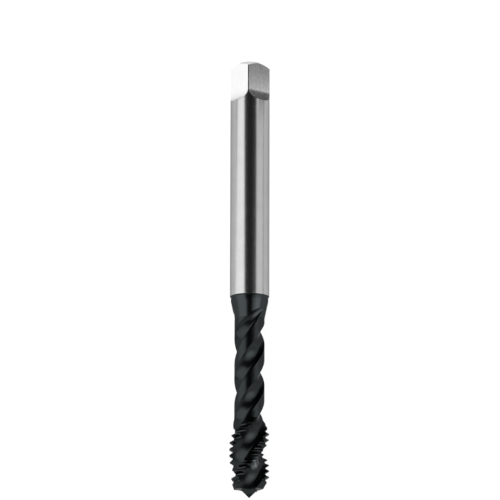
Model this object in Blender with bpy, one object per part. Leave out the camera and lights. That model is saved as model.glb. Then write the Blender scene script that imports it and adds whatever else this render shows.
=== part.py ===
"""Machine tap, M8 x 1.25, with a reinforced shank, a drive square and three right-hand flutes.

The tap lies on its shank on the plane Z = 0, with its axis along Y: the drive square is at +Y and the
cutting end at -Y. The mesh is made in the tap's own frame, where local Z is the axis and a station is the
distance along it from the end of the drive square.
"""

import math

import bmesh
import bpy
from mathutils import Vector

MM = 0.001
TURN = 2 * math.pi

# Blank, from the drive square to the cutting end
SHANK_DIAMETER = 8.0 * MM
SHANK_LENGTH = 48.8 * MM
END_CHAMFER_LENGTH = 1.15 * MM
END_FLAT_DIAMETER = 4.2 * MM
SHOULDER_DIAMETER = 7.6 * MM
SHOULDER_LENGTH = 1.0 * MM
SHOULDER_EDGE = 0.2 * MM
CONE_ANGLE = math.radians(12)
NECK_RELIEF = 0.27 * MM  # under the core of the thread, so that the neck passes through the tapped hole
NECK_LENGTH = 20.65 * MM
POINT_DIAMETER = 3.4 * MM
POINT_LENGTH = 1.67 * MM

# Drive square
SQUARE_ACROSS_FLATS = 5.8 * MM
SQUARE_LENGTH = 6.2 * MM
SQUARE_RUNOUT_RADIUS = 2.7 * MM
SQUARE_PAIRS = 2
SQUARE_TURN = math.radians(-5)

# Centre hole in the end of the shank
CENTRE_HOLE_DIAMETER = 2.65 * MM
CENTRE_PILOT_DIAMETER = 1.25 * MM
CENTRE_PILOT_LENGTH = 1.4 * MM
CENTRE_HOLE_ANGLE = math.radians(60)
PILOT_POINT_ANGLE = math.radians(118)

# Thread
THREAD_DIAMETER = 8.0 * MM
THREAD_PITCH = 1.25 * MM
THREAD_DEPTH = 0.68 * MM
THREAD_LENGTH = 14.35 * MM
THREAD_CREST = 1 / 8  # of the pitch
THREAD_ROOT = 5 / 24  # of the pitch
THREAD_RAMP = 3.0 * MM
LEAD_CHAMFER_LENGTH = 2.3 * MM
LEAD_CHAMFER_ANGLE = math.radians(23)

# Flutes
FLUTES = 3
FLUTE_ANGLE = math.radians(45)
FLUTE_CORE_DIAMETER = 4.1 * MM
FLUTE_ROOT_RADIUS = 1.45 * MM
FLUTE_LENGTH = 31.2 * MM
FLUTE_RUNOUT_RADIUS = 12.0 * MM
RAKE_ANGLE = math.radians(16)
LAND_WIDTH = 2.4 * MM
FIRST_EDGE_ANGLE = math.radians(22.5)

# Faceting of the solid
LAND_STEPS = 3
FLUTE_STEPS = 7
SIDES = FLUTES * (LAND_STEPS + FLUTE_STEPS)
RING_GAP = 0.6 * MM
PATH_SAMPLES = 160
NARROWEST_FLUTE = math.radians(14)
RUNOUT_STEPS = 8
HOLE_SIDES = 20
POINT_SIDES = 24
POINT_ROOT = 0.6 * MM
SQUARE_RUNOUT_STEPS = 8
CUT_CLEARANCE = 1.0 * MM
SHARP_ANGLE = math.radians(28)
HALVINGS = 40
NEAR_ZERO = 1e-12
ROUNDING = 1e-6

# The neck lies under the core of the thread, and a cone leads down to it from the shoulder
NECK_DIAMETER = THREAD_DIAMETER - 2 * (THREAD_DEPTH + NECK_RELIEF)
CONE_LENGTH = abs(SHOULDER_DIAMETER - NECK_DIAMETER) / 2 / math.tan(CONE_ANGLE)

# Stations of the blank
SHOULDER_START = SHANK_LENGTH + SHOULDER_EDGE
CONE_START = SHANK_LENGTH + SHOULDER_LENGTH
NECK_START = CONE_START + CONE_LENGTH
THREAD_START = NECK_START + NECK_LENGTH
FRONT = THREAD_START + THREAD_LENGTH
OVERALL_LENGTH = FRONT + POINT_LENGTH
FLUTE_FULL_DEPTH = FRONT - FLUTE_LENGTH

# The tap lies on the round part that stands out furthest
AXIS_HEIGHT = max(SHANK_DIAMETER, THREAD_DIAMETER) / 2

# Along a helical land the thread repeats a little later than its pitch
FLUTE_LEAD = math.pi * THREAD_DIAMETER / math.tan(FLUTE_ANGLE)
TOOTH_SPACING = THREAD_PITCH * FLUTE_LEAD / (FLUTE_LEAD - THREAD_PITCH)
FLANK = (1 - THREAD_CREST - THREAD_ROOT) / 2


def polar(radius, angle):
    """A point in the tap's section: angle 0 is up, and angles grow towards +X."""
    return Vector((radius * math.sin(angle), radius * math.cos(angle)))


def angle_of(point):
    return math.atan2(point.x, point.y)


def rotated(point, angle):
    return polar(point.length, angle_of(point) + angle)


def meets_circle(start, direction, radius):
    """The furthest point of a line that lies on the circle around the axis."""
    along = start.dot(direction)
    gap = max(along * along - start.length_squared + radius * radius, 0)
    return start + direction * (math.sqrt(gap) - along)


class Flute:
    """The ground outline of one flute, with the cutting edge of its land at angle 0.

    From the edge a flat cutting face leans back under the land by the rake angle. It runs into a round root,
    and a flat back rises from the root to the heel of the land before.
    """

    def __init__(self):
        edge = polar(THREAD_DIAMETER / 2, 0)
        land_angle = LAND_WIDTH / (THREAD_DIAMETER / 2)
        heel = polar(THREAD_DIAMETER / 2, land_angle - TURN / FLUTES)
        self.face_out = polar(1, -RAKE_ANGLE)
        side = Vector((-self.face_out.y, self.face_out.x))
        lifted = edge + side * FLUTE_ROOT_RADIUS
        reach = FLUTE_CORE_DIAMETER / 2 + FLUTE_ROOT_RADIUS
        along = lifted.dot(self.face_out)
        inside = max(along * along - lifted.length_squared + reach * reach, 0)
        self.centre = lifted - self.face_out * (along - math.sqrt(inside))
        self.face_foot = self.centre - side * FLUTE_ROOT_RADIUS
        self.back_foot = self.tangent_from(heel)
        self.back_out = (heel - self.back_foot).normalized()
        self.edge = edge
        self.heel = heel

    def tangent_from(self, heel):
        """The foot on the root, on the axis side, of the tangent that comes down from the heel."""
        to_heel = heel - self.centre
        opening = math.acos(min(FLUTE_ROOT_RADIUS / to_heel.length, 1))
        middle = angle_of(to_heel)
        feet = [self.centre + polar(FLUTE_ROOT_RADIUS, middle + turn) for turn in (-opening, opening)]
        return min(feet, key=lambda foot: foot.length)

    def path(self, lift):
        """Close points from the heel to the cutting edge, with the flute drawn out from the axis by a lift."""
        deepest = angle_of(-self.centre)
        back = angle_of(self.back_foot - self.centre) - deepest
        face = angle_of(self.face_foot - self.centre) - deepest
        back = (back + math.pi) % TURN - math.pi
        face = (face + math.pi) % TURN - math.pi
        root = []
        for i in range(PATH_SAMPLES + 1):
            turn = back + (face - back) * i / PATH_SAMPLES
            root.append(self.centre + polar(FLUTE_ROOT_RADIUS, deepest + turn))
        points = [self.heel.lerp(self.back_foot, i / PATH_SAMPLES) for i in range(PATH_SAMPLES)]
        points += root
        points += [self.face_foot.lerp(self.edge, (i + 1) / PATH_SAMPLES) for i in range(PATH_SAMPLES)]
        shift = self.centre.normalized() * lift
        return [point + shift for point in points]

    def outline(self, lift, radius):
        """Points from heel to edge, spaced evenly along the part of the flute that lies inside a radius."""
        points = self.path(lift)
        inside = [i for i, point in enumerate(points) if point.length < radius]
        middle = angle_of(self.centre)
        if inside and inside[0] > 0 and inside[-1] < len(points) - 1:
            kept = [at_radius(points[inside[0] - 1], points[inside[0]], radius)]
            kept += [points[i] for i in inside]
            kept.append(at_radius(points[inside[-1] + 1], points[inside[-1]], radius))
            if angle_of(kept[-1]) - angle_of(kept[0]) > NARROWEST_FLUTE:
                return evenly_spaced(kept, FLUTE_STEPS)
        start = middle - NARROWEST_FLUTE / 2
        return [polar(radius, start + NARROWEST_FLUTE * i / FLUTE_STEPS) for i in range(FLUTE_STEPS + 1)]

    def face_at(self, radius):
        return meets_circle(self.face_foot, self.face_out, radius)

    def back_at(self, radius):
        return meets_circle(self.back_foot, self.back_out, radius)


def at_radius(outer, inner, radius):
    """The point at a radius between two points that lie just outside and just inside it."""
    share = (outer.length - radius) / max(outer.length - inner.length, NEAR_ZERO)
    return outer.lerp(inner, min(max(share, 0), 1))


def evenly_spaced(points, steps):
    """A polyline walked in equal steps."""
    walked = [0.0]
    for before, after in zip(points, points[1:]):
        walked.append(walked[-1] + (after - before).length)
    spaced, i = [], 0
    for step in range(steps + 1):
        target = walked[-1] * step / steps
        while i < len(points) - 2 and walked[i + 1] < target:
            i += 1
        share = (target - walked[i]) / max(walked[i + 1] - walked[i], NEAR_ZERO)
        spaced.append(points[i].lerp(points[i + 1], min(share, 1)))
    return spaced


def blank_radius(station):
    """Radius of the turned blank ahead of the shank, before the thread and the flutes are ground."""
    if station <= CONE_START:
        return SHOULDER_DIAMETER / 2
    if station <= NECK_START:
        share = (station - CONE_START) / CONE_LENGTH
        return SHOULDER_DIAMETER / 2 + (NECK_DIAMETER - SHOULDER_DIAMETER) / 2 * share
    if station <= THREAD_START:
        return NECK_DIAMETER / 2
    ramp = NECK_DIAMETER / 2 + (THREAD_DIAMETER - NECK_DIAMETER) / 2 * (station - THREAD_START) / THREAD_RAMP
    lead = THREAD_DIAMETER / 2 - (station - FRONT + LEAD_CHAMFER_LENGTH) * math.tan(LEAD_CHAMFER_ANGLE)
    return min(ramp, lead, THREAD_DIAMETER / 2)


def thread_radius(turns):
    """Radius of the thread form after a number of turns: a crest, a flank, a root and a flank."""
    share = turns % 1.0
    down = (share - THREAD_CREST) / FLANK
    up = (1 - share) / FLANK
    return THREAD_DIAMETER / 2 - THREAD_DEPTH * min(max(min(down, up), 0), 1)


def flute_lift(station):
    """How far the flute has been drawn out at its run-out, which is an arc of the grinding wheel."""
    short = min(max(FLUTE_FULL_DEPTH - station, 0), FLUTE_RUNOUT_RADIUS)
    return FLUTE_RUNOUT_RADIUS - math.sqrt(FLUTE_RUNOUT_RADIUS**2 - short**2)


def twist(station):
    """Turn of the section at a station: going to the cutting end, the flutes wind to the left on top."""
    return FIRST_EDGE_ANGLE + (FRONT - station) / FLUTE_LEAD * TURN


def flute_end():
    """Station where the run-out leaves the blank, found by halving."""
    low, high = CONE_START, FLUTE_FULL_DEPTH
    for _ in range(HALVINGS):
        middle = (low + high) / 2
        if FLUTE_CORE_DIAMETER / 2 + flute_lift(middle) > blank_radius(middle):
            low = middle
        else:
            high = middle
    return high


def placed(point, station):
    """A section point at its station, turned along the helix."""
    turned = rotated(point, twist(station))
    return Vector((turned.x, turned.y, station))


def round_ring(radius, station, angles):
    ring = []
    for angle in angles:
        point = polar(radius, angle)
        ring.append(Vector((point.x, point.y, station)))
    return ring


def turned_ring(radius, station, angles):
    """A ring whose facets touch the circle, so that the tap lies on a whole facet of its shank."""
    return round_ring(radius / math.cos(math.pi / SIDES), station, angles)


def land_points(start, end, radius):
    """Points between two corners of a land, without the corners."""
    first = angle_of(start)
    span = (angle_of(end) - first) % TURN
    return [polar(radius, first + span * i / LAND_STEPS) for i in range(1, LAND_STEPS)]


def fluted_ring(flute, station):
    """A ring of the neck or the run-out: each flute from heel to edge, and the land that follows it."""
    radius = blank_radius(station)
    outline = flute.outline(flute_lift(station), radius)
    ring = []
    for k in range(FLUTES):
        turn = TURN * k / FLUTES
        points = [rotated(point, turn) for point in outline]
        next_heel = rotated(outline[0], turn + TURN / FLUTES)
        points += land_points(points[-1], next_heel, radius)
        ring += [placed(point, station) for point in points]
    return ring


def threaded_ring(flute, station, inner, slant):
    """A ring of the threaded part, whose points follow the thread across each land.

    Every land has the thread at its own height of the form, a third of a turn from its neighbours. A slant of
    1 leads each point back along the thread, and 0 keeps the ring flat, as on the front face.
    """
    turns = (station - THREAD_START) / TOOTH_SPACING
    back_per_turn = TOOTH_SPACING * slant
    ring = []
    for k in range(FLUTES):
        turn = TURN * k / FLUTES
        land_radius = thread_radius(turns + k / FLUTES)
        before_radius = thread_radius(turns + (k - 1) / FLUTES)
        full_land = angle_of(flute.back_at(before_radius)) - angle_of(flute.face_at(land_radius))
        full_land %= TURN / FLUTES
        heel_station = station - back_per_turn * full_land / TURN
        heel = flute.back_at(min(before_radius, blank_radius(heel_station)))
        edge = flute.face_at(min(land_radius, blank_radius(station)))
        points = [heel] + inner + [edge]
        for i, point in enumerate(points):
            share = 1 - i / (len(points) - 1)
            ring.append(placed(rotated(point, turn), station + (heel_station - station) * share))
        next_heel = flute.back_at(min(land_radius, blank_radius(heel_station)))
        span = (angle_of(next_heel) - angle_of(edge)) % (TURN / FLUTES)
        for i in range(1, LAND_STEPS):
            local = span * i / LAND_STEPS
            at = station - back_per_turn * local / TURN
            radius = min(land_radius, blank_radius(at))
            ring.append(placed(polar(radius, angle_of(edge) + local + turn), at))
    return ring


def ring_angles(ring):
    return [math.atan2(point.x, point.y) for point in ring]


def even_angles(near):
    """Equal steps round the shank with a facet straight below, numbered to lie near another ring."""
    step = TURN / SIDES
    drift = 0.0
    for i, angle in enumerate(near):
        drift += (angle - near[0] - step * i + math.pi) % TURN - math.pi
    start = near[0] + drift / SIDES
    start = (round(start / step - 0.5) + 0.5) * step
    return [start + step * i for i in range(SIDES)]


def blended_angles(start, end, share):
    """Angles a share of the way from one ring to another, each by the shorter way round."""
    return [a + ((b - a + math.pi) % TURN - math.pi) * share for a, b in zip(start, end)]


def stations_between(corners, gap):
    """Stations no further apart than a gap, with one at each corner of the blank."""
    stations = []
    for before, after in zip(corners, corners[1:]):
        steps = max(math.ceil((after - before) / gap - ROUNDING), 1)
        stations += [before + (after - before) * i / steps for i in range(steps)]
    return stations


def thread_stations():
    """Stations at the corners of the thread form, the same on every land."""
    corners = sorted({share % (1 / FLUTES) for share in (0, THREAD_CREST)})
    stations, i = [], 0
    while True:
        for corner in corners:
            station = THREAD_START + TOOTH_SPACING * (i / FLUTES + corner)
            if station > FRONT - TOOTH_SPACING / (2 * FLUTES):
                return stations
            stations.append(station)
        i += 1


def tap_rings():
    """All rings of the tap, from the end of the drive square to the front face."""
    flute = Flute()
    end = flute_end()
    first = fluted_ring(flute, end)
    even = even_angles(ring_angles(first))
    rings = [
        turned_ring(END_FLAT_DIAMETER / 2, 0, even),
        turned_ring(SHANK_DIAMETER / 2, END_CHAMFER_LENGTH, even),
        turned_ring(SHANK_DIAMETER / 2, SHANK_LENGTH, even),
        turned_ring(SHOULDER_DIAMETER / 2, SHOULDER_START, even),
        turned_ring(SHOULDER_DIAMETER / 2, CONE_START, even),
    ]
    blends = math.ceil((end - CONE_START) / RING_GAP)
    for i in range(1, blends):
        share = i / blends
        station = CONE_START + (end - CONE_START) * share
        angles = blended_angles(even, ring_angles(first), share)
        rings.append(round_ring(blank_radius(station), station, angles))
    corners = sorted({end, max(NECK_START, end), max(FLUTE_FULL_DEPTH, end)})
    runout_gap = (FLUTE_FULL_DEPTH - end) / RUNOUT_STEPS
    stations = stations_between(corners, runout_gap)
    stations += stations_between([corners[-1], THREAD_START - THREAD_RAMP / 4], RING_GAP)
    rings += [fluted_ring(flute, station) for station in stations]
    inner = flute.outline(0, NECK_DIAMETER / 2)[1:-1]
    rings += [threaded_ring(flute, station, inner, 1) for station in thread_stations()]
    rings.append(threaded_ring(flute, FRONT, inner, 0))
    return rings


def skin(bm, rings, tip=None):
    """Closed body through rings of as many points, capped at both ends or drawn to a tip."""
    loops = [[bm.verts.new(point) for point in ring] for ring in rings]
    count = len(loops[0])
    for before, after in zip(loops, loops[1:]):
        for i in range(count):
            j = (i + 1) % count
            bm.faces.new((before[i], after[i], after[j], before[j]))
    bm.faces.new(loops[0])
    if tip is None:
        bm.faces.new(list(reversed(loops[-1])))
        return
    apex = bm.verts.new(tip)
    for i in range(count):
        bm.faces.new((loops[-1][i], apex, loops[-1][(i + 1) % count]))


def new_object(name, bm, materials):
    """An object of a closed body, shaded smooth apart from its sharp edges."""
    bmesh.ops.recalc_face_normals(bm, faces=bm.faces)
    mesh = bpy.data.meshes.new(name)
    bm.to_mesh(mesh)
    bm.free()
    for material in materials:
        mesh.materials.append(material)
    mesh.shade_smooth()
    mesh.set_sharp_from_angle(angle=SHARP_ANGLE)
    obj = bpy.data.objects.new(name, mesh)
    bpy.context.scene.collection.objects.link(obj)
    return obj


def steel(name, colour, roughness):
    material = bpy.data.materials.new(name)
    material.use_nodes = True
    shader = material.node_tree.nodes["Principled BSDF"]
    shader.inputs["Base Color"].default_value = (*colour, 1)
    shader.inputs["Metallic"].default_value = 1.0
    shader.inputs["Roughness"].default_value = roughness
    return material


def make_tap():
    """The tap as one solid, bright on the shank and dark from the shoulder on."""
    bright = steel("bright_ground_steel", (0.62, 0.62, 0.62), 0.22)
    dark = steel("dark_oxide_steel", (0.05, 0.056, 0.057), 0.38)
    bm = bmesh.new()
    skin(bm, tap_rings())
    for face in bm.faces:
        face.material_index = int(face.calc_center_median().z > SHANK_LENGTH)
    return new_object("tap", bm, (bright, dark))


def centre_point(materials):
    """The outer centre on the cutting end, a cone that starts inside the core of the flutes."""
    angles = [TURN * i / POINT_SIDES for i in range(POINT_SIDES)]
    rings = [
        round_ring(POINT_DIAMETER / 2, FRONT - POINT_ROOT, angles),
        round_ring(POINT_DIAMETER / 2, FRONT, angles),
    ]
    bm = bmesh.new()
    skin(bm, rings, Vector((0, 0, OVERALL_LENGTH)))
    for face in bm.faces:
        face.material_index = 1
    return new_object("centre_point", bm, materials)


def square_cutter(name, first_angle):
    """Two bars that grind opposite flats, each with a round run-out towards the shank."""
    half = SQUARE_ACROSS_FLATS / 2
    outer = SHANK_DIAMETER / 2 + CUT_CLEARANCE
    depth = min(outer - half, SQUARE_RUNOUT_RADIUS)
    sweep = math.acos(1 - depth / SQUARE_RUNOUT_RADIUS)
    profile = [(half, -CUT_CLEARANCE)]
    for i in range(SQUARE_RUNOUT_STEPS + 1):
        turn = sweep * i / SQUARE_RUNOUT_STEPS
        rise = SQUARE_RUNOUT_RADIUS * (1 - math.cos(turn))
        profile.append((half + rise, SQUARE_LENGTH + SQUARE_RUNOUT_RADIUS * math.sin(turn)))
    profile.append((outer, profile[-1][1]))
    profile.append((outer, -CUT_CLEARANCE))
    bm = bmesh.new()
    for angle in (first_angle, first_angle + TURN / 2):
        out, across = polar(1, angle), polar(1, angle + TURN / 4)
        sides = []
        for side in (-outer, outer):
            ring = []
            for distance, station in profile:
                point = out * distance + across * side
                ring.append(Vector((point.x, point.y, station)))
            sides.append(ring)
        skin(bm, sides)
    return new_object(name, bm, ())


def centre_hole_cutter():
    """The 60 degree centre and its pilot, as one turned plug."""
    mouth, pilot = CENTRE_HOLE_DIAMETER / 2, CENTRE_PILOT_DIAMETER / 2
    slope = math.tan(CENTRE_HOLE_ANGLE / 2)
    cone_end = (mouth - pilot) / slope
    pilot_end = cone_end + CENTRE_PILOT_LENGTH
    tip = pilot_end + pilot / math.tan(PILOT_POINT_ANGLE / 2)
    angles = [TURN * i / HOLE_SIDES for i in range(HOLE_SIDES)]
    rings = [
        round_ring(mouth + CUT_CLEARANCE * slope, -CUT_CLEARANCE, angles),
        round_ring(pilot, cone_end, angles),
        round_ring(pilot, pilot_end, angles),
    ]
    bm = bmesh.new()
    skin(bm, rings, Vector((0, 0, tip)))
    return new_object("centre_hole_cutter", bm, ())


def combine(target, tool, operation):
    tool.hide_render = True
    tool.display_type = "WIRE"
    tool.parent = target
    modifier = target.modifiers.new(tool.name, "BOOLEAN")
    modifier.operation = operation
    modifier.object = tool


def main():
    for obj in list(bpy.data.objects):
        bpy.data.objects.remove(obj, do_unlink=True)
    tap = make_tap()
    combine(tap, centre_point(tap.data.materials), "UNION")
    for k in range(SQUARE_PAIRS):
        angle = SQUARE_TURN + TURN * (k + 0.5) / (2 * SQUARE_PAIRS)
        combine(tap, square_cutter(f"square_cutter_{k + 1}", angle), "DIFFERENCE")
    combine(tap, centre_hole_cutter(), "DIFFERENCE")
    tap.rotation_euler = (math.pi / 2, 0, 0)
    tap.location = (0, OVERALL_LENGTH / 2, AXIS_HEIGHT)


main()
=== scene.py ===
"""Looks of the machine tap: its form in fine steps, its finishes, the studio and the camera.

The tap is drawn in its own frame, where local Z is the axis and a station is the distance along it
from the end of the drive square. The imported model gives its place: the square is at +Y, the cutting
end at -Y.
"""

import math

import bmesh
import bpy
from mathutils import Matrix, Vector


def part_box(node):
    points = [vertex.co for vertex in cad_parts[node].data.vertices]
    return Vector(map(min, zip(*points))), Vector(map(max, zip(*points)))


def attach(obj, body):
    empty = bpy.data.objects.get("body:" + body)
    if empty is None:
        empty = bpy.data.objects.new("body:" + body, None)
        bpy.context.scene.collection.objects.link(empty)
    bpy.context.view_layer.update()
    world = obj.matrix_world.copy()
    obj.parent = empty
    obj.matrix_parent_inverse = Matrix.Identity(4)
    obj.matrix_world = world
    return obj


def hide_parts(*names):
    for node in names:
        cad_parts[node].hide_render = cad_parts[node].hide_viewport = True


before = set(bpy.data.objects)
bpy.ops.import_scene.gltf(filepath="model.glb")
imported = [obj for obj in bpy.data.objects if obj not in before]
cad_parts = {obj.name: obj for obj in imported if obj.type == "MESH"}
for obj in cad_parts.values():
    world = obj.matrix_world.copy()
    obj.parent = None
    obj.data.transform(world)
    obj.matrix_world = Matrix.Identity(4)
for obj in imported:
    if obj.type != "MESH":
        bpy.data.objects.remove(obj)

MM = 0.001
TURN = 2 * math.pi

# Blank, from the drive square to the cutting end
SHANK_DIAMETER = 8.0 * MM
SHANK_LENGTH = 48.8 * MM
END_CHAMFER_LENGTH = 1.15 * MM
END_FLAT_DIAMETER = 4.2 * MM
SHOULDER_DIAMETER = 7.6 * MM
SHOULDER_LENGTH = 1.0 * MM
SHOULDER_EDGE = 0.2 * MM
CONE_ANGLE = math.radians(12)
NECK_RELIEF = 0.27 * MM
NECK_LENGTH = 20.65 * MM
POINT_DIAMETER = 3.4 * MM
POINT_LENGTH = 1.67 * MM
EDGE_ROUNDING = 0.07 * MM

# Drive square and centre hole
SQUARE_ACROSS_FLATS = 5.8 * MM
SQUARE_LENGTH = 6.2 * MM
SQUARE_RUNOUT_RADIUS = 2.7 * MM
SQUARE_PAIRS = 2
SQUARE_TURN = math.radians(-5)
CENTRE_HOLE_DIAMETER = 2.65 * MM
CENTRE_PILOT_DIAMETER = 1.25 * MM
CENTRE_PILOT_LENGTH = 1.4 * MM
CENTRE_HOLE_ANGLE = math.radians(60)
PILOT_POINT_ANGLE = math.radians(118)

# Thread
THREAD_DIAMETER = 8.0 * MM
THREAD_PITCH = 1.25 * MM
THREAD_DEPTH = 0.68 * MM
THREAD_LENGTH = 14.35 * MM
THREAD_CREST = 1 / 8  # of the pitch
THREAD_ROOT = 5 / 24  # of the pitch
THREAD_RAMP = 3.0 * MM
LEAD_CHAMFER_LENGTH = 2.3 * MM
LEAD_CHAMFER_ANGLE = math.radians(23)

# Flutes
FLUTES = 3
FLUTE_ANGLE = math.radians(45)
FLUTE_CORE_DIAMETER = 4.1 * MM
FLUTE_ROOT_RADIUS = 1.45 * MM
FLUTE_LENGTH = 31.2 * MM
FLUTE_RUNOUT_RADIUS = 12.0 * MM
RAKE_ANGLE = math.radians(16)
LAND_WIDTH = 2.4 * MM
FIRST_EDGE_ANGLE = math.radians(22.5)

# Steps and tolerances of the fine mesh
LAND_STEPS = 14
FLUTE_STEPS = 30
SIDES = FLUTES * (LAND_STEPS + FLUTE_STEPS)
RING_GAP = 0.3 * MM
RUNOUT_STEPS = 28
ROUNDING_STEPS = 4
PATH_SAMPLES = 400
NARROWEST_FLUTE = math.radians(5)
HOLE_SIDES = 64
POINT_SIDES = 96
POINT_ROOT = 0.6 * MM
SQUARE_RUNOUT_STEPS = 24
CUT_CLEARANCE = 1.0 * MM
SHARP_ANGLE = math.radians(20)
HALVINGS = 40
NEAR_ZERO = 1e-12
COUNT_TOLERANCE = 1e-6

# Worked out from the sizes above
NECK_DIAMETER = THREAD_DIAMETER - 2 * (THREAD_DEPTH + NECK_RELIEF)
CONE_LENGTH = abs(SHOULDER_DIAMETER - NECK_DIAMETER) / 2 / math.tan(CONE_ANGLE)
SHOULDER_START = SHANK_LENGTH + SHOULDER_EDGE
CONE_START = SHANK_LENGTH + SHOULDER_LENGTH
NECK_START = CONE_START + CONE_LENGTH
THREAD_START = NECK_START + NECK_LENGTH
FRONT = THREAD_START + THREAD_LENGTH
OVERALL_LENGTH = FRONT + POINT_LENGTH
FLUTE_FULL_DEPTH = FRONT - FLUTE_LENGTH
FLUTE_LEAD = math.pi * THREAD_DIAMETER / math.tan(FLUTE_ANGLE)
TOOTH_SPACING = THREAD_PITCH * FLUTE_LEAD / (FLUTE_LEAD - THREAD_PITCH)
FLANK = (1 - THREAD_CREST - THREAD_ROOT) / 2
NECK_RINGS_END = THREAD_START - THREAD_RAMP / 4  # room for the threaded rings to lean back

# Camera: the picture is 500 pixels square and the tap fills its height
PICTURE = 500
PIXELS_PER_MM = 4.93
CAMERA_ELEVATION = math.radians(77.2)
CAMERA_ROLL = math.radians(0.14)
CAMERA_LENS = 300.0
CAMERA_SENSOR = 36.0
CAMERA_CLIP = 100  # it sees from this many times nearer than the tap to as many times further
AIM_STATION = 39.05 * MM
AIM_SIDE = 0.06 * MM

# Share of the light that the metals keep at a grazing angle
EDGE_TINT = 0.5

# Noise of the grinding marks and of the patches
LINE_DETAIL = 4.0
LINE_ROUGHNESS = 0.65
PATCHES_PER_MM = 0.35
PATCH_DETAIL = 2.0

# Tones of each finish, darkest and lightest. The thin oxide lets more of the steel through
GROUND_TONES = ((0.37, 0.37, 0.37), (0.43, 0.43, 0.43))
FLAT_TONES = ((0.88, 0.88, 0.88), (0.94, 0.94, 0.94))
# the centre hole's tones are darker than the shank's: painted shade in the hole
BORED_AND_SHADE_TONES = ((0.3, 0.3, 0.3), (0.4, 0.4, 0.4))
DARK_TONES = ((0.022, 0.0255, 0.0265), (0.03, 0.034, 0.035))
THIN_LIFT = 1.35
THIN_TONES = [[THIN_LIFT * level for level in tone] for tone in DARK_TONES]

# Finishes: the marks to the millimetre along local X, Y and Z, the range of roughness and the
# height of the marks
FINISHES = {
    "ground_shank": dict(
        marks_per_mm=(0.3, 0.3, 9.0), tones=GROUND_TONES, roughness=(0.18, 0.28), depth=0.0006 * MM
    ),
    "ground_flats": dict(
        marks_per_mm=(9.0, 9.0, 0.3), tones=FLAT_TONES, roughness=(0.2, 0.34), depth=0.0008 * MM
    ),
    # the centre hole: a rougher bored finish, its tone darkened as painted shade in the hole
    "bored_centre_and_shade": dict(
        marks_per_mm=(0.3, 0.3, 12.0), tones=BORED_AND_SHADE_TONES, roughness=(0.3, 0.4), depth=0.001 * MM
    ),
    "dark_oxide": dict(
        marks_per_mm=(3.0, 3.0, 3.0), tones=DARK_TONES, roughness=(0.24, 0.34), depth=0.001 * MM
    ),
    "thin_oxide": dict(
        marks_per_mm=(0.3, 0.3, 9.0), tones=THIN_TONES, roughness=(0.2, 0.3), depth=0.0006 * MM
    ),
}

# A painted glint: a lighter tone in a flute near the cutting end, in the tap's own
# millimetres. Its reach is along the flute, through it and across it, its core a share of that
GLINT_PLACE = (1.25, 1.9, 83.2)
GLINT_REACH = (1.9, 3.5, 1.0)
GLINT_TILT = math.radians(52)
GLINT_CORE = 0.3
GLINT_TONE = (0.21, 0.229, 0.234)

# Cove, in metres: a round floor with a low wall, and the dim room above it
COVE_RADIUS = 3.0
COVE_HEIGHT = 0.15
COVE_SIDES = 96
FLOOR_GREY = 0.3
FLOOR_GLOW = 0.88
ROOM_LEVEL = 0.012

# Grey card, in metres: near and far are along X, front, bend and back along Y
CARD_GREY = 0.15
CARD_NEAR = 0.005
CARD_FAR = 0.06
CARD_FRONT = 0.04
CARD_BEND_FRONT = 0.053
CARD_BACK = 0.12
CARD_LIFT = 0.0002
CARD_HEIGHT = 0.05

# Lamps, in metres. Beside the tap, their angle is from straight up towards +X
LIGHT_DISTANCE = 0.5
SIDE_LAMPS = {
    "key_softbox": dict(
        angle=math.radians(-52), along=-0.075, size=(0.53, 0.7), radiance=1.9, turn=math.radians(25)
    ),
    "fill_softbox": dict(
        angle=math.radians(61), along=-0.03, size=(0.42, 0.6), radiance=1.15, turn=0.0
    ),
    "accent_softbox": dict(
        angle=math.radians(45), along=-0.125, size=(0.48, 0.33), radiance=1.4, turn=0.0
    ),
}
FRONT_LAMP = dict(
    place=(0, -0.4, 0.34), target=(0, 0, 0), size=(0.5, 0.25), radiance=1.0, turn=0.0
)


def polar(radius, angle):
    """A point in the tap's section: angle 0 is up, and angles grow towards +X."""
    return Vector((radius * math.sin(angle), radius * math.cos(angle)))


def angle_of(point):
    return math.atan2(point.x, point.y)


def rotated(point, angle):
    return polar(point.length, angle_of(point) + angle)


def wrapped(angle):
    """The same angle, between minus and plus half a turn."""
    return (angle + math.pi) % TURN - math.pi


def circle_angles(sides):
    return [TURN * i / sides for i in range(sides)]


def at_station(point, station):
    return Vector((point.x, point.y, station))


def meets_circle(start, direction, radius):
    """The furthest point of a line that lies on the circle around the axis."""
    along = start.dot(direction)
    gap = max(along * along - start.length_squared + radius * radius, 0)
    return start + direction * (math.sqrt(gap) - along)


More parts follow.
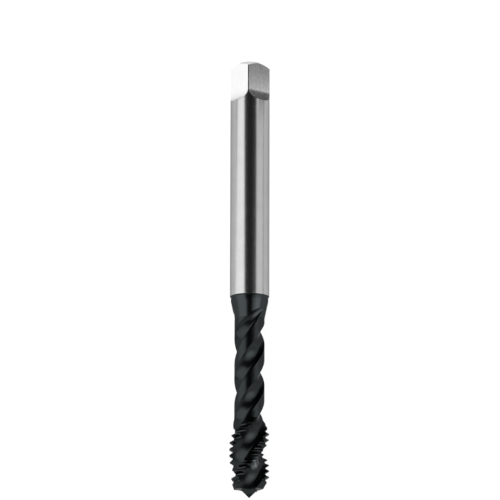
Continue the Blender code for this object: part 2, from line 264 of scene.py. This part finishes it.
class Flute:
    """The ground outline of one flute, with the cutting edge of its land at angle 0.

    From the edge a flat cutting face leans back under the land by the rake angle. It runs into a
    round root, and a flat back rises from the root to the heel of the land before.
    """

    def __init__(self):
        edge = polar(THREAD_DIAMETER / 2, 0)
        land_angle = LAND_WIDTH / (THREAD_DIAMETER / 2)
        heel = polar(THREAD_DIAMETER / 2, land_angle - TURN / FLUTES)
        self.face_out = polar(1, -RAKE_ANGLE)
        side = Vector((-self.face_out.y, self.face_out.x))
        lifted = edge + side * FLUTE_ROOT_RADIUS
        reach = FLUTE_CORE_DIAMETER / 2 + FLUTE_ROOT_RADIUS
        along = lifted.dot(self.face_out)
        inside = max(along * along - lifted.length_squared + reach * reach, 0)
        self.centre = lifted - self.face_out * (along - math.sqrt(inside))
        self.face_foot = self.centre - side * FLUTE_ROOT_RADIUS
        self.back_foot = self.tangent_from(heel)
        self.back_out = (heel - self.back_foot).normalized()
        self.edge = edge
        self.heel = heel

    def tangent_from(self, heel):
        """The foot on the root, on the axis side, of the tangent that comes down from the heel."""
        to_heel = heel - self.centre
        opening = math.acos(min(FLUTE_ROOT_RADIUS / to_heel.length, 1))
        middle = angle_of(to_heel)
        turns = (middle - opening, middle + opening)
        feet = [self.centre + polar(FLUTE_ROOT_RADIUS, turn) for turn in turns]
        return min(feet, key=lambda foot: foot.length)

    def path(self, lift):
        """Close points from the heel to the edge, with the flute drawn out from the axis."""
        deepest = angle_of(-self.centre)
        back = wrapped(angle_of(self.back_foot - self.centre) - deepest)
        face = wrapped(angle_of(self.face_foot - self.centre) - deepest)
        root = []
        for i in range(PATH_SAMPLES + 1):
            turn = back + (face - back) * i / PATH_SAMPLES
            root.append(self.centre + polar(FLUTE_ROOT_RADIUS, deepest + turn))
        shares = [i / PATH_SAMPLES for i in range(PATH_SAMPLES + 1)]
        points = [self.heel.lerp(self.back_foot, share) for share in shares[:-1]]
        points += root
        points += [self.face_foot.lerp(self.edge, share) for share in shares[1:]]
        shift = self.centre.normalized() * lift
        return [point + shift for point in points]

    def outline(self, lift, radius):
        """Points from heel to edge, spaced evenly along the part of the flute inside a radius."""
        points = self.path(lift)
        inside = [i for i, point in enumerate(points) if point.length < radius]
        middle = angle_of(self.centre)
        if inside and inside[0] > 0 and inside[-1] < len(points) - 1:
            kept = [at_radius(points[inside[0] - 1], points[inside[0]], radius)]
            kept += [points[i] for i in inside]
            kept.append(at_radius(points[inside[-1] + 1], points[inside[-1]], radius))
            if angle_of(kept[-1]) - angle_of(kept[0]) > NARROWEST_FLUTE:
                return evenly_spaced(kept, FLUTE_STEPS)
        start = middle - NARROWEST_FLUTE / 2
        return [
            polar(radius, start + NARROWEST_FLUTE * i / FLUTE_STEPS)
            for i in range(FLUTE_STEPS + 1)
        ]

    def face_at(self, radius):
        return meets_circle(self.face_foot, self.face_out, radius)

    def back_at(self, radius):
        return meets_circle(self.back_foot, self.back_out, radius)


def at_radius(outer, inner, radius):
    """The point at a radius between two points that lie just outside and just inside it."""
    share = (outer.length - radius) / max(outer.length - inner.length, NEAR_ZERO)
    return outer.lerp(inner, min(max(share, 0), 1))


def evenly_spaced(points, steps):
    """A polyline walked in equal steps."""
    walked = [0.0]
    for before, after in zip(points, points[1:]):
        walked.append(walked[-1] + (after - before).length)
    spaced, i = [], 0
    for step in range(steps + 1):
        target = walked[-1] * step / steps
        while i < len(points) - 2 and walked[i + 1] < target:
            i += 1
        share = (target - walked[i]) / max(walked[i + 1] - walked[i], NEAR_ZERO)
        spaced.append(points[i].lerp(points[i + 1], min(share, 1)))
    return spaced


def blank_radius(station):
    """Radius of the turned blank ahead of the shank, before thread and flutes are ground."""
    if station <= CONE_START:
        return SHOULDER_DIAMETER / 2
    if station <= NECK_START:
        share = (station - CONE_START) / CONE_LENGTH
        return SHOULDER_DIAMETER / 2 + (NECK_DIAMETER - SHOULDER_DIAMETER) / 2 * share
    if station <= THREAD_START:
        return NECK_DIAMETER / 2
    rise = (THREAD_DIAMETER - NECK_DIAMETER) / 2 * (station - THREAD_START) / THREAD_RAMP
    lead = (station - FRONT + LEAD_CHAMFER_LENGTH) * math.tan(LEAD_CHAMFER_ANGLE)
    return min(NECK_DIAMETER / 2 + rise, THREAD_DIAMETER / 2 - lead, THREAD_DIAMETER / 2)


def thread_radius(turns):
    """Radius of the thread form after a number of turns: a crest, a flank, a root and a flank."""
    share = turns % 1.0
    down = (share - THREAD_CREST) / FLANK
    up = (1 - share) / FLANK
    return THREAD_DIAMETER / 2 - THREAD_DEPTH * min(max(min(down, up), 0), 1)


def flute_lift(station):
    """How far the flute has been drawn out at its run-out, an arc of the grinding wheel."""
    short = min(max(FLUTE_FULL_DEPTH - station, 0), FLUTE_RUNOUT_RADIUS)
    return FLUTE_RUNOUT_RADIUS - math.sqrt(FLUTE_RUNOUT_RADIUS**2 - short**2)


def twist(station):
    """Turn of the section at a station: towards the cutting end, the flutes wind to -X on top."""
    return FIRST_EDGE_ANGLE + (FRONT - station) / FLUTE_LEAD * TURN


def flute_end():
    """Station where the run-out leaves the blank, found by halving."""
    low, high = CONE_START, FLUTE_FULL_DEPTH
    for _ in range(HALVINGS):
        middle = (low + high) / 2
        if FLUTE_CORE_DIAMETER / 2 + flute_lift(middle) > blank_radius(middle):
            low = middle
        else:
            high = middle
    return high


def placed(point, station):
    """A section point at its station, turned along the helix."""
    return at_station(rotated(point, twist(station)), station)


def round_ring(radius, station, angles):
    return [at_station(polar(radius, angle), station) for angle in angles]


def land_points(start, end, radius):
    """Points between two corners of a land, without the corners."""
    first = angle_of(start)
    span = (angle_of(end) - first) % TURN
    return [polar(radius, first + span * i / LAND_STEPS) for i in range(1, LAND_STEPS)]


def fluted_ring(flute, station):
    """A ring of the neck or the run-out: each flute from heel to edge, then the land after it."""
    radius = blank_radius(station)
    outline = flute.outline(flute_lift(station), radius)
    ring = []
    for k in range(FLUTES):
        turn = TURN * k / FLUTES
        points = [rotated(point, turn) for point in outline]
        next_heel = rotated(outline[0], turn + TURN / FLUTES)
        points += land_points(points[-1], next_heel, radius)
        ring += [placed(point, station) for point in points]
    return ring


def threaded_ring(flute, station, inner, slant):
    """A ring of the threaded part, whose points follow the thread across each land.

    Every land has the thread at its own height of the form, a third of a turn from its neighbours.
    A slant of 1 leads each point back along the thread, and 0 keeps the ring flat, as on the front
    face.
    """
    turns = (station - THREAD_START) / TOOTH_SPACING
    back_per_turn = TOOTH_SPACING * slant
    ring = []
    for k in range(FLUTES):
        turn = TURN * k / FLUTES
        land_radius = thread_radius(turns + k / FLUTES)
        before_radius = thread_radius(turns + (k - 1) / FLUTES)
        full_land = angle_of(flute.back_at(before_radius)) - angle_of(flute.face_at(land_radius))
        full_land %= TURN / FLUTES
        heel_station = station - back_per_turn * full_land / TURN
        heel = flute.back_at(min(before_radius, blank_radius(heel_station)))
        edge = flute.face_at(min(land_radius, blank_radius(station)))
        points = [heel] + inner + [edge]
        for i, point in enumerate(points):
            share = 1 - i / (len(points) - 1)
            ring.append(placed(rotated(point, turn), station + (heel_station - station) * share))
        next_heel = flute.back_at(min(land_radius, blank_radius(heel_station)))
        span = (angle_of(next_heel) - angle_of(edge)) % (TURN / FLUTES)
        for i in range(1, LAND_STEPS):
            local = span * i / LAND_STEPS
            at = station - back_per_turn * local / TURN
            radius = min(land_radius, blank_radius(at))
            ring.append(placed(polar(radius, angle_of(edge) + local + turn), at))
    return ring


def ring_angles(ring):
    return [angle_of(point) for point in ring]


def even_angles(near):
    """Equal steps round the shank, numbered to lie near the points of another ring."""
    step = TURN / SIDES
    drift = 0.0
    for i, angle in enumerate(near):
        drift += wrapped(angle - near[0] - step * i)
    start = near[0] + drift / SIDES
    return [start + step * i for i in range(SIDES)]


def blended_angles(start, end, share):
    """Angles a share of the way from one ring to another, each by the shorter way round."""
    return [a + wrapped(b - a) * share for a, b in zip(start, end)]


def stations_between(corners, gap):
    """Stations no further apart than a gap, with one at each corner of the blank."""
    stations = []
    for before, after in zip(corners, corners[1:]):
        steps = max(math.ceil((after - before) / gap - COUNT_TOLERANCE), 1)
        stations += [before + (after - before) * i / steps for i in range(steps)]
    return stations


def thread_stations():
    """Stations at the corners of the thread form, the same on every land."""
    corners = sorted({share % (1 / FLUTES) for share in (0, THREAD_CREST)})
    stations, i = [], 0
    while True:
        for corner in corners:
            station = THREAD_START + TOOTH_SPACING * (i / FLUTES + corner)
            if station > FRONT - TOOTH_SPACING / (2 * FLUTES):
                return stations
            stations.append(station)
        i += 1


def rounded(profile, radius):
    """A turned profile of (station, radius) points, with an arc in place of each inner corner."""
    points = [Vector(point) for point in profile]
    soft = [points[0]]
    for before, corner, after in zip(points, points[1:], points[2:]):
        back, ahead = (before - corner), (after - corner)
        turn = math.pi - back.angle(ahead)
        cut = min(radius * math.tan(turn / 2), back.length / 2, ahead.length / 2)
        start = corner + back.normalized() * cut
        end = corner + ahead.normalized() * cut
        for i in range(ROUNDING_STEPS + 1):
            share = i / ROUNDING_STEPS
            soft.append(start.lerp(corner, share).lerp(corner.lerp(end, share), share))
    return soft + [points[-1]]


def shank_profile():
    """The turned outline from the end face, halfway out to its rim, to the start of the cone."""
    mean_end_diameter = (CENTRE_HOLE_DIAMETER + END_FLAT_DIAMETER) / 2
    corners = [
        (0, mean_end_diameter / 2),
        (0, END_FLAT_DIAMETER / 2),
        (END_CHAMFER_LENGTH, SHANK_DIAMETER / 2),
        (SHANK_LENGTH, SHANK_DIAMETER / 2),
        (SHOULDER_START, SHOULDER_DIAMETER / 2),
        (CONE_START, SHOULDER_DIAMETER / 2),
    ]
    return rounded(corners, EDGE_ROUNDING)


def tap_rings():
    """All rings of the tap, from the end of the drive square to the front face."""
    flute = Flute()
    end = flute_end()
    first = fluted_ring(flute, end)
    even = even_angles(ring_angles(first))
    rings = [round_ring(radius, station, even) for station, radius in shank_profile()]
    blends = math.ceil((end - CONE_START) / RING_GAP)
    for i in range(1, blends):
        share = i / blends
        station = CONE_START + (end - CONE_START) * share
        angles = blended_angles(even, ring_angles(first), share)
        rings.append(round_ring(blank_radius(station), station, angles))
    corners = sorted({end, max(NECK_START, end), max(FLUTE_FULL_DEPTH, end)})
    runout_gap = (FLUTE_FULL_DEPTH - end) / RUNOUT_STEPS
    stations = stations_between(corners, runout_gap)
    stations += stations_between([corners[-1], NECK_RINGS_END], RING_GAP)
    rings += [fluted_ring(flute, station) for station in stations]
    inner = flute.outline(0, NECK_DIAMETER / 2)[1:-1]
    rings += [threaded_ring(flute, station, inner, 1) for station in thread_stations()]
    rings.append(threaded_ring(flute, FRONT, inner, 0))
    return rings


def skin(bm, rings, tip=None):
    """Closed body through rings of as many points, capped at both ends or drawn to a tip."""
    loops = [[bm.verts.new(point) for point in ring] for ring in rings]
    count = len(loops[0])
    for before, after in zip(loops, loops[1:]):
        for i in range(count):
            j = (i + 1) % count
            bm.faces.new((before[i], after[i], after[j], before[j]))
    bm.faces.new(loops[0])
    if tip is None:
        bm.faces.new(list(reversed(loops[-1])))
        return
    apex = bm.verts.new(tip)
    for i in range(count):
        bm.faces.new((loops[-1][i], apex, loops[-1][(i + 1) % count]))


def new_object(name, bm, materials):
    bmesh.ops.recalc_face_normals(bm, faces=bm.faces)
    mesh = bpy.data.meshes.new(name)
    bm.to_mesh(mesh)
    bm.free()
    for material in materials:
        mesh.materials.append(material)
    obj = bpy.data.objects.new(name, mesh)
    bpy.context.scene.collection.objects.link(obj)
    return obj


def fine_body(zones):
    """The tap's body before the square and the centre hole are cut.

    The zones are pairs of a station and the material up to it.
    """
    bm = bmesh.new()
    skin(bm, tap_rings())
    for face in bm.faces:
        station = face.calc_center_median().z
        face.material_index = next(i for i, (end, _) in enumerate(zones) if station < end)
    return new_object("ground_tap", bm, [material for _, material in zones])


def centre_point(dark):
    """The outer centre on the cutting end, a cone that starts inside the core of the flutes."""
    angles = circle_angles(POINT_SIDES)
    rings = [
        round_ring(POINT_DIAMETER / 2, FRONT - POINT_ROOT, angles),
        round_ring(POINT_DIAMETER / 2, FRONT, angles),
    ]
    bm = bmesh.new()
    skin(bm, rings, Vector((0, 0, OVERALL_LENGTH)))
    return new_object("centre_point", bm, (dark,))


def square_cutter(name, first_angle, flats):
    """Two bars that grind opposite flats, each with a round run-out towards the shank."""
    half = SQUARE_ACROSS_FLATS / 2
    outer = SHANK_DIAMETER / 2 + CUT_CLEARANCE
    depth = min(outer - half, SQUARE_RUNOUT_RADIUS)
    sweep = math.acos(1 - depth / SQUARE_RUNOUT_RADIUS)
    profile = [(half, -CUT_CLEARANCE)]
    for i in range(SQUARE_RUNOUT_STEPS + 1):
        turn = sweep * i / SQUARE_RUNOUT_STEPS
        rise = SQUARE_RUNOUT_RADIUS * (1 - math.cos(turn))
        profile.append((half + rise, SQUARE_LENGTH + SQUARE_RUNOUT_RADIUS * math.sin(turn)))
    profile.append((outer, profile[-1][1]))
    profile.append((outer, -CUT_CLEARANCE))
    bm = bmesh.new()
    for angle in (first_angle, first_angle + TURN / 2):
        out, across = polar(1, angle), polar(1, angle + TURN / 4)
        sides = []
        for side in (-outer, outer):
            sides.append([
                at_station(out * far + across * side, station) for far, station in profile
            ])
        skin(bm, sides)
    return new_object(name, bm, (flats,))


def centre_hole_cutter(bored_and_shaded):
    """The 60 degree centre and its pilot, as one turned plug."""
    mouth, pilot = CENTRE_HOLE_DIAMETER / 2, CENTRE_PILOT_DIAMETER / 2
    slope = math.tan(CENTRE_HOLE_ANGLE / 2)
    cone_end = (mouth - pilot) / slope
    pilot_end = cone_end + CENTRE_PILOT_LENGTH
    tip = pilot_end + pilot / math.tan(PILOT_POINT_ANGLE / 2)
    angles = circle_angles(HOLE_SIDES)
    rings = [
        round_ring(mouth + CUT_CLEARANCE * slope, -CUT_CLEARANCE, angles),
        round_ring(pilot, cone_end, angles),
        round_ring(pilot, pilot_end, angles),
    ]
    bm = bmesh.new()
    skin(bm, rings, Vector((0, 0, tip)))
    return new_object("centre_hole_cutter", bm, (bored_and_shaded,))


def combined(body, tools):
    """The body after each boolean operation, as one plain mesh, with the tools gone."""
    for tool, operation in tools:
        modifier = body.modifiers.new(tool.name, "BOOLEAN")
        modifier.operation = operation
        modifier.object = tool
        modifier.material_mode = "TRANSFER"
    graph = bpy.context.evaluated_depsgraph_get()
    made = bpy.data.meshes.new_from_object(body.evaluated_get(graph))
    body.modifiers.clear()
    body.data = made
    for tool, _ in tools:
        bpy.data.objects.remove(tool, do_unlink=True)


def new_node(tree, kind, **values):
    made = tree.nodes.new("ShaderNode" + kind)
    for name, value in values.items():
        setattr(made, name, value)
    return made


def wire(tree, links):
    """Links pairs of (node, output) and (node, input)."""
    for (start, output), (end, entry) in links:
        tree.links.new(start.outputs[output], end.inputs[entry])


def ramp_node(tree, low, high):
    """A Map Range from 0..1 to the two values."""
    made = new_node(tree, "MapRange")
    made.inputs["To Min"].default_value = low
    made.inputs["To Max"].default_value = high
    return made


def grinding_marks():
    """Node group: fine lines along one axis of its coordinates, and slow patches.

    The coordinates come in millimetres, and Marks per mm says how often the lines change along
    each of their axes.
    """
    group = bpy.data.node_groups.new("grinding marks", "ShaderNodeTree")
    interface = group.interface
    interface.new_socket("Place", in_out="INPUT", socket_type="NodeSocketVector")
    interface.new_socket("Marks per mm", in_out="INPUT", socket_type="NodeSocketVector")
    interface.new_socket("Lines", in_out="OUTPUT", socket_type="NodeSocketFloat")
    interface.new_socket("Patches", in_out="OUTPUT", socket_type="NodeSocketFloat")
    enter = group.nodes.new("NodeGroupInput")
    leave = group.nodes.new("NodeGroupOutput")
    stretch = new_node(group, "VectorMath", operation="MULTIPLY")
    fine = new_node(group, "TexNoise")
    fine.inputs["Scale"].default_value = 1.0
    fine.inputs["Detail"].default_value = LINE_DETAIL
    fine.inputs["Roughness"].default_value = LINE_ROUGHNESS
    slow = new_node(group, "TexNoise")
    slow.inputs["Scale"].default_value = PATCHES_PER_MM
    slow.inputs["Detail"].default_value = PATCH_DETAIL
    wire(group, [
        ((enter, "Place"), (stretch, 0)),
        ((enter, "Marks per mm"), (stretch, 1)),
        ((stretch, "Vector"), (fine, "Vector")),
        ((enter, "Place"), (slow, "Vector")),
        ((fine, "Fac"), (leave, "Lines")),
        ((slow, "Fac"), (leave, "Patches")),
    ])
    return group


def millimetres(tree, source):
    """The piece's own coordinates, in millimetres."""
    scale = new_node(tree, "VectorMath", operation="SCALE")
    scale.inputs["Scale"].default_value = 1 / MM
    tree.links.new(source.outputs["Object"], scale.inputs[0])
    return scale


def metal(name, marks):
    """A finish: lines from the wheel in its height and gloss, and slow patches in its colour."""
    finish = FINISHES[name]
    material = bpy.data.materials.new(name)
    material.use_nodes = True
    tree = material.node_tree
    shader = tree.nodes["Principled BSDF"]
    shader.inputs["Metallic"].default_value = 1.0
    shader.inputs["Specular Tint"].default_value = (EDGE_TINT, EDGE_TINT, EDGE_TINT, 1)
    place = millimetres(tree, new_node(tree, "TexCoord"))
    lines = new_node(tree, "Group", node_tree=marks)
    lines.inputs["Marks per mm"].default_value = finish["marks_per_mm"]
    tone = new_node(tree, "Mix", data_type="RGBA")
    darkest, lightest = finish["tones"]
    tone.inputs["A"].default_value = (*darkest, 1)
    tone.inputs["B"].default_value = (*lightest, 1)
    gloss = ramp_node(tree, *finish["roughness"])
    bump = new_node(tree, "Bump")
    bump.inputs["Strength"].default_value = 1.0
    bump.inputs["Distance"].default_value = finish["depth"]
    wire(tree, [
        ((place, "Vector"), (lines, "Place")),
        ((lines, "Patches"), (tone, "Factor")),
        ((tone, "Result"), (shader, "Base Color")),
        ((lines, "Lines"), (gloss, "Value")),
        ((gloss, "Result"), (shader, "Roughness")),
        ((lines, "Lines"), (bump, "Height")),
        ((bump, "Normal"), (shader, "Normal")),
    ])
    return material


def paint_glint(material):
    """Paints a glint: a lighter tone in one long place that leans along the flute, with a soft edge.
    """
    tree = material.node_tree
    shader = tree.nodes["Principled BSDF"]
    even_tone = shader.inputs["Base Color"].links[0].from_socket
    place = millimetres(tree, new_node(tree, "TexCoord"))
    spot = new_node(tree, "Mapping", vector_type="TEXTURE")
    spot.inputs["Location"].default_value = GLINT_PLACE
    spot.inputs["Rotation"].default_value = (0, GLINT_TILT, 0)
    spot.inputs["Scale"].default_value = GLINT_REACH
    away = new_node(tree, "VectorMath", operation="LENGTH")
    share = new_node(tree, "MapRange", interpolation_type="SMOOTHSTEP")
    share.inputs["From Min"].default_value = 1.0
    share.inputs["From Max"].default_value = GLINT_CORE
    tone = new_node(tree, "Mix", data_type="RGBA")
    tone.inputs["B"].default_value = (*GLINT_TONE, 1)
    tree.links.new(even_tone, tone.inputs["A"])
    wire(tree, [
        ((place, "Vector"), (spot, "Vector")),
        ((spot, "Vector"), (away, 0)),
        ((away, "Value"), (share, "Value")),
        ((share, "Result"), (tone, "Factor")),
        ((tone, "Result"), (shader, "Base Color")),
    ])


def make_tap():
    """The whole tap in its place. Returns the height of its axis."""
    marks = grinding_marks()
    ground, flats, bored_and_shaded, dark, thin = [metal(name, marks) for name in FINISHES]
    # painted glint: a lighter tone in one flute near the cutting end
    paint_glint(dark)
    zones = [
        (END_CHAMFER_LENGTH, flats),
        (SHANK_LENGTH, ground),
        (NECK_START, thin),
        (OVERALL_LENGTH, dark),
    ]
    body = fine_body(zones)
    tools = [(centre_point(dark), "UNION")]
    for k in range(SQUARE_PAIRS):
        angle = SQUARE_TURN + TURN * (k + 0.5) / (2 * SQUARE_PAIRS)
        tools.append((square_cutter(f"square_cutter_{k + 1}", angle, flats), "DIFFERENCE"))
    tools.append((centre_hole_cutter(bored_and_shaded), "DIFFERENCE"))
    combined(body, tools)
    body.data.shade_smooth()
    body.data.set_sharp_from_angle(angle=SHARP_ANGLE)
    even = body.modifiers.new("even shading", "WEIGHTED_NORMAL")
    even.keep_sharp = True
    low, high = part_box("tap")
    axis_height = (low[2] + high[2]) / 2
    lying = Matrix.Rotation(TURN / 4, 4, "X")
    body.matrix_world = Matrix.Translation((0, high[1], axis_height)) @ lying
    bpy.context.view_layer.update()
    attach(body, "root")
    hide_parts("tap")
    return axis_height


def background_share(tree):
    """A mask of the rays that see the background: from the camera, or by way of metal or glass."""
    path = new_node(tree, "LightPath")
    first = new_node(tree, "Math", operation="MAXIMUM")
    both = new_node(tree, "Math", operation="MAXIMUM")
    wire(tree, [
        ((path, "Is Camera Ray"), (first, 0)),
        ((path, "Is Glossy Ray"), (first, 1)),
        ((first, "Value"), (both, 0)),
        ((path, "Is Transmission Ray"), (both, 1)),
    ])
    return both


def matt(name, grey):
    """A grey material without gloss, and its shader."""
    material = bpy.data.materials.new(name)
    material.use_nodes = True
    shader = material.node_tree.nodes["Principled BSDF"]
    shader.inputs["Base Color"].default_value = (grey, grey, grey, 1)
    shader.inputs["Roughness"].default_value = 1.0
    shader.inputs["Specular IOR Level"].default_value = 0.0
    return material, shader


def make_cove():
    """A wide pale floor with a low wall round it, which keeps the shadow and shows white."""
    material, shader = matt("pale_cove", FLOOR_GREY)
    shader.inputs["Emission Color"].default_value = (1, 1, 1, 1)
    tree = material.node_tree
    seen = background_share(tree)
    glow = ramp_node(tree, 0.0, FLOOR_GLOW)
    wire(tree, [
        ((seen, "Value"), (glow, "Value")),
        ((glow, "Result"), (shader, "Emission Strength")),
    ])
    bm = bmesh.new()
    bmesh.ops.create_circle(bm, cap_ends=True, segments=COVE_SIDES, radius=COVE_RADIUS)
    rim = bmesh.ops.extrude_edge_only(bm, edges=bm.edges[:])
    for item in rim["geom"]:
        if isinstance(item, bmesh.types.BMVert):
            item.co.z = COVE_HEIGHT
    new_object("cove", bm, (material,))


def make_card():
    """A grey sheet to the right of the square, bent up at its far side, that only metal mirrors."""
    material, _ = matt("grey_card", CARD_GREY)
    bm = bmesh.new()
    profile = [
        (CARD_NEAR, CARD_FRONT, CARD_LIFT),
        (CARD_FAR, CARD_BEND_FRONT, CARD_LIFT),
        (CARD_FAR, CARD_BEND_FRONT, CARD_HEIGHT),
    ]
    front = [bm.verts.new(point) for point in profile]
    back = [bm.verts.new((x, CARD_BACK, z)) for x, _, z in profile]
    for i in range(len(profile) - 1):
        bm.faces.new((front[i], front[i + 1], back[i + 1], back[i]))
    card = new_object("grey_card", bm, (material,))
    card.visible_camera = False
    card.visible_diffuse = False
    card.visible_shadow = False


def make_world():
    """The dim room above the cove."""
    world = bpy.data.worlds.new("dim_room")
    bpy.context.scene.world = world
    world.use_nodes = True
    background = world.node_tree.nodes["Background"]
    background.inputs["Color"].default_value = (1, 1, 1, 1)
    background.inputs["Strength"].default_value = ROOM_LEVEL


def looks_at(place, target):
    """A matrix at a place whose -Z looks at a target, with its Y as near +Y as can be."""
    back = (Vector(place) - Vector(target)).normalized()
    side = Vector((0, 1, 0)).cross(back).normalized()
    up = back.cross(side)
    turned = Matrix((side, up, back)).transposed().to_4x4()
    return Matrix.Translation(place) @ turned


def softbox(name, place, target, size, radiance, turn):
    """A lamp that faces a target, as wide across the tap and long along it as its size, turned."""
    width, length = size
    lamp = bpy.data.lights.new(name, "AREA")
    lamp.shape = "RECTANGLE"
    lamp.size = width
    lamp.size_y = length
    lamp.energy = radiance * math.pi * width * length
    obj = bpy.data.objects.new(name, lamp)
    bpy.context.scene.collection.objects.link(obj)
    obj.matrix_world = looks_at(place, target) @ Matrix.Rotation(turn, 4, "Z")
    obj.visible_camera = False


def side_softbox(name, angle, along, size, radiance, turn):
    """A lamp at the lights' distance from the axis, which it faces squarely."""
    place = (LIGHT_DISTANCE * math.sin(angle), along, LIGHT_DISTANCE * math.cos(angle))
    softbox(name, place, (0, along, 0), size, radiance, turn)


def make_lights():
    """Two long boxes beside the tap, a smaller one on its right and one in front of it."""
    for name, lamp in SIDE_LAMPS.items():
        side_softbox(name, **lamp)
    softbox("front_softbox", **FRONT_LAMP)


def make_camera(axis_height):
    """A long lens that looks down on the tap from the side of its cutting end."""
    data = bpy.data.cameras.new("camera")
    data.lens = CAMERA_LENS
    data.sensor_width = CAMERA_SENSOR
    camera = bpy.data.objects.new("camera", data)
    bpy.context.scene.collection.objects.link(camera)
    _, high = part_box("tap")
    aim = Vector((AIM_SIDE, high[1] - AIM_STATION, axis_height))
    back = Vector((0, -math.cos(CAMERA_ELEVATION), math.sin(CAMERA_ELEVATION)))
    frame_width = PICTURE / PIXELS_PER_MM * MM
    distance = frame_width * CAMERA_LENS / CAMERA_SENSOR
    roll = Matrix.Rotation(CAMERA_ROLL, 4, "Z")
    camera.matrix_world = looks_at(aim + back * distance, aim) @ roll
    data.clip_start = distance / CAMERA_CLIP
    data.clip_end = distance * CAMERA_CLIP
    bpy.context.scene.camera = camera


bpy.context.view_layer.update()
axis_height = make_tap()
make_cove()
make_card()
make_world()
make_lights()
make_camera(axis_height)
bpy.context.scene.view_settings.view_transform = "Standard"
